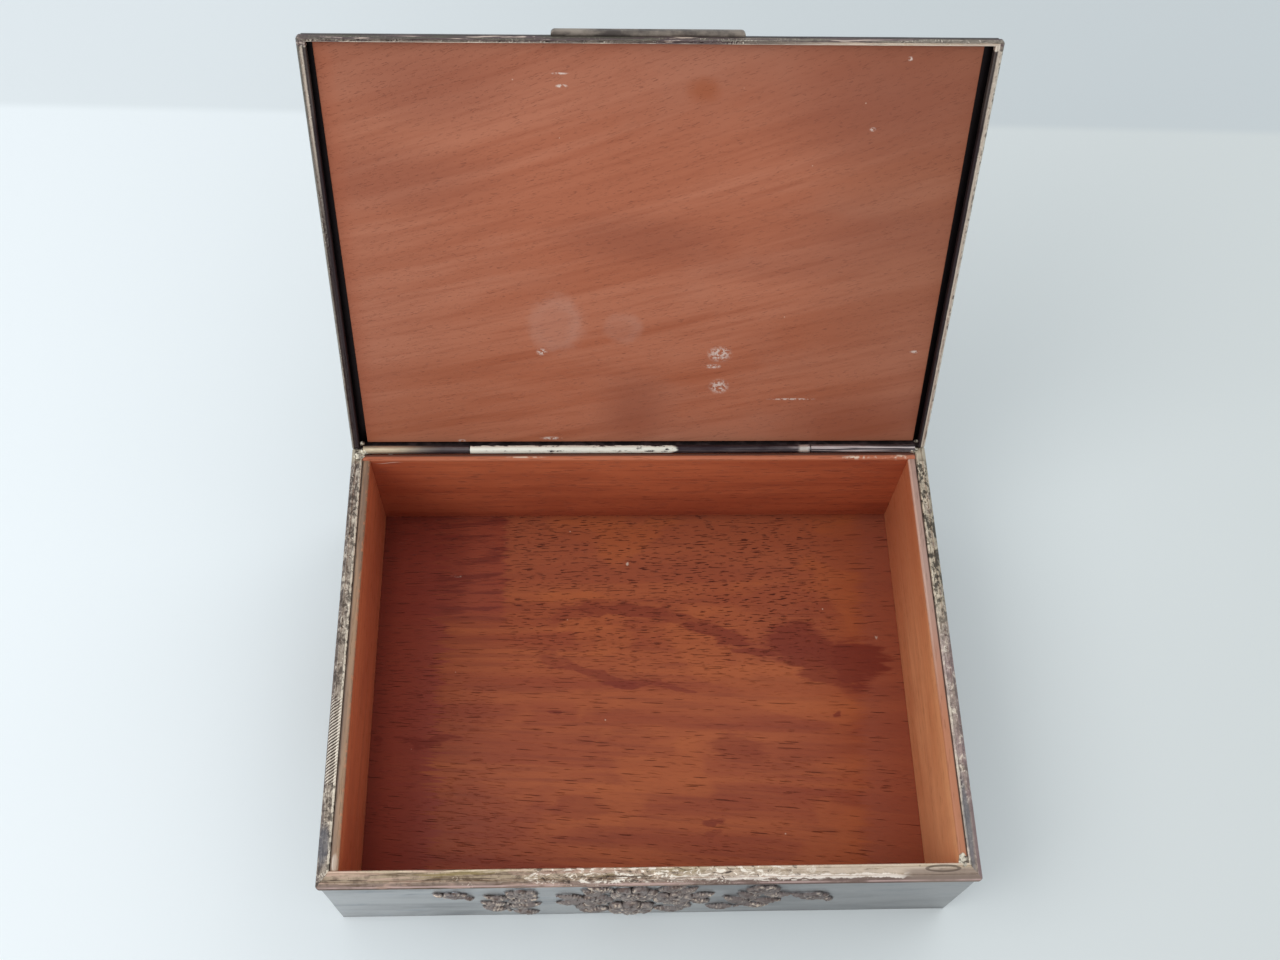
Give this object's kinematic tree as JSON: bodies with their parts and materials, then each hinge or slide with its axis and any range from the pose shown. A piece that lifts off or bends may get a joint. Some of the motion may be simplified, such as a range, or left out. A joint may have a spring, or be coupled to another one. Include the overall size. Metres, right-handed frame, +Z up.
{
  "type": "low metal casket with a wood lining",
  "caption": "Low rectangular metal casket with raised flowers on its walls, a wood-lined inside and a wood-lined lid on a long hinge, drawn with the lid open.",
  "frame": {"origin": "middle of the flat underside, on the resting plane", "axes": "+Z up; +X to the right and +Y to the back, for someone who faces the front wall; the hinge runs along X at the back"},
  "size_m": [0.2042, 0.2102, 0.1882],
  "materials": {
    "plate": "silver plate with a blue-grey tarnish, worn at the raised work",
    "moulding": "silver plate, embossed and worn to a warm grey",
    "hinge": "dull metal tube with traces of solder",
    "board": "red-brown mahogany, satin, with open pores",
    "panel": "the same wood, hazy and faded to a pinkish brown"
  },
  "bodies": {
    "box": {"front_wall": "plate", "back_wall": "plate", "left_wall": "plate", "right_wall": "plate", "base_plate": "plate", "front_rim": "moulding", "left_rim": "moulding", "right_rim": "moulding", "front_lining": "board", "back_lining": "board", "left_lining": "board", "right_lining": "board", "floor_board": "board", "left_knuckle": "hinge", "right_knuckle": "hinge", "hinge_pin": "hinge"},
    "lid": {"lid_plate": "plate", "lid_front_flange": "plate", "lid_back_flange": "plate", "lid_left_flange": "plate", "lid_right_flange": "plate", "lid_front_rim": "moulding", "lid_left_rim": "moulding", "lid_right_rim": "moulding", "lid_knuckle": "hinge", "lid_panel": "panel", "thumb_tab": "plate"}
  },
  "joints": [
    {"name": "lid_hinge", "type": "hinge", "parent": "box", "child": "lid", "pos_m": [0, 0.07304, 0.05015], "axis": [1, 0, 0], "range_deg": [0, 112]}
  ]
}
